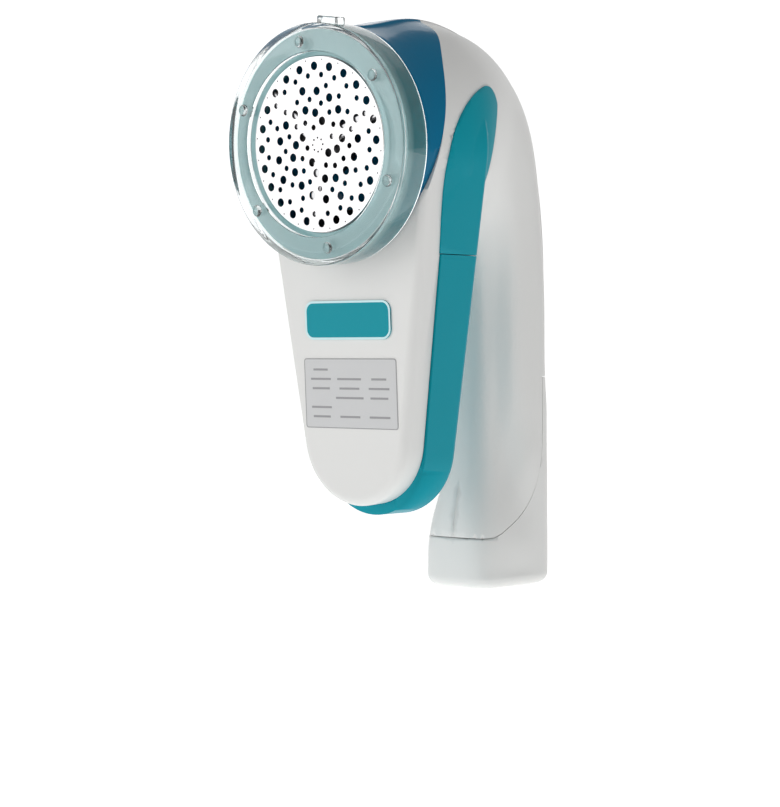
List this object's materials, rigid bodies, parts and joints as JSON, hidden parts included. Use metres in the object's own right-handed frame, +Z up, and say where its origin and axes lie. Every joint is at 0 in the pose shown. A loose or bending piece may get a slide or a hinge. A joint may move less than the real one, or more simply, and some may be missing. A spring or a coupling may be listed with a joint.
{
  "type": "fabric shaver",
  "caption": "Upright battery fabric shaver: round perforated foil head with spinning blades, lift-off lint container and a rear handle that ends in a flat foot.",
  "frame": {"origin": "middle of the foot's flat base", "axes": "+Z up along the handle, -Y the way the shaving head faces, +X to the right of someone looking at the head"},
  "size_m": [0.066, 0.0957, 0.1636],
  "materials": {
    "white_shell": "moulded ABS, soft gloss",
    "teal_plastic": "moulded ABS, soft gloss",
    "blue_plastic": "deep tinted styrene, glossy",
    "aqua_plastic": "pale tinted styrene, see-through",
    "clear_plastic": "clear moulded styrene",
    "foil_steel": "etched and polished steel",
    "blade_steel": "ground spring steel",
    "dark_plastic": "black moulded plastic",
    "spring_steel": "bright steel",
    "felt": "pressed felt",
    "motor_steel": "zinc plated steel",
    "laminated_iron": "stacked laminations",
    "copper_alloy": "bright copper alloy",
    "magnet_ferrite": "sintered ferrite",
    "capacitor_coat": "dipped ceramic",
    "cell_wrap": "printed sleeve over a steel can",
    "wire_red": "soft insulation",
    "wire_black": "soft insulation",
    "badge_plastic": "glossy inset",
    "label_film": "printed film"
  },
  "bodies": {
    "housing": {"front_shell": "white_shell", "handle_right": "white_shell", "handle_left": "white_shell", "front_liner": "white_shell", "flash_right": "teal_plastic", "flash_left": "teal_plastic", "head_collar": "blue_plastic", "motor_endcap": "dark_plastic", "lint_duct": "dark_plastic", "battery_cradle": "dark_plastic", "switch_body": "dark_plastic", "motor_screw_right": "spring_steel", "motor_screw_left": "spring_steel", "top_contact": "spring_steel", "housing_screw_1": "spring_steel", "housing_screw_2": "spring_steel", "housing_screw_3": "spring_steel", "shaft_seal": "felt", "motor_can": "motor_steel", "motor_bracket": "motor_steel", "motor_bush_front": "copper_alloy", "motor_bush_rear": "copper_alloy", "motor_terminal_right": "copper_alloy", "motor_terminal_left": "copper_alloy", "return_strip": "copper_alloy", "motor_magnet_upper": "magnet_ferrite", "motor_magnet_lower": "magnet_ferrite", "suppression_capacitor": "capacitor_coat", "battery_lower": "cell_wrap", "battery_upper": "cell_wrap", "wire_cell_to_switch": "wire_red", "wire_switch_to_motor": "wire_red", "wire_strip_to_motor": "wire_black", "badge": "badge_plastic", "rating_label": "label_film"},
    "rotor": {"blade_hub": "dark_plastic", "blade_1": "blade_steel", "blade_2": "blade_steel", "blade_3": "blade_steel", "blade_spring": "spring_steel", "shaft_clip": "spring_steel", "motor_shaft": "spring_steel", "motor_armature": "laminated_iron", "commutator": "copper_alloy"},
    "foil_head": {"foil_ring": "aqua_plastic", "foil": "foil_steel", "foil_clamp_ring": "aqua_plastic"},
    "spacer": {"spacer_ring": "clear_plastic"},
    "lint_bin": {"lint_container": "teal_plastic"},
    "cover": {"battery_cover": "white_shell", "battery_spring": "spring_steel", "bottom_contact": "spring_steel"},
    "switch": {"switch_knob": "teal_plastic", "switch_carriage": "dark_plastic"}
  },
  "joints": [
    {"name": "blade_spin", "type": "hinge", "parent": "housing", "child": "rotor", "pos_m": [0, -0.076, 0.126], "axis": [0, -0.9976, -0.0698], "continuous": true},
    {"name": "foil_ring_twist", "type": "hinge", "parent": "housing", "child": "foil_head", "pos_m": [0, -0.076, 0.126], "axis": [0, -0.9976, -0.0698], "range_deg": [0, 30]},
    {"name": "spacer_pull", "type": "slide", "parent": "foil_head", "child": "spacer", "axis": [0, -0.9976, -0.0698], "range_m": [0, 0.01]},
    {"name": "container_slide", "type": "slide", "parent": "housing", "child": "lint_bin", "axis": [0, 0.0523, -0.9986], "range_m": [0, 0.075]},
    {"name": "battery_cover_slide", "type": "slide", "parent": "housing", "child": "cover", "axis": [0, 0, -1], "range_m": [0, 0.03]},
    {"name": "switch_slide", "type": "slide", "parent": "housing", "child": "switch", "axis": [0, -0.3162, 0.9487], "range_m": [0, 0.005]}
  ]
}
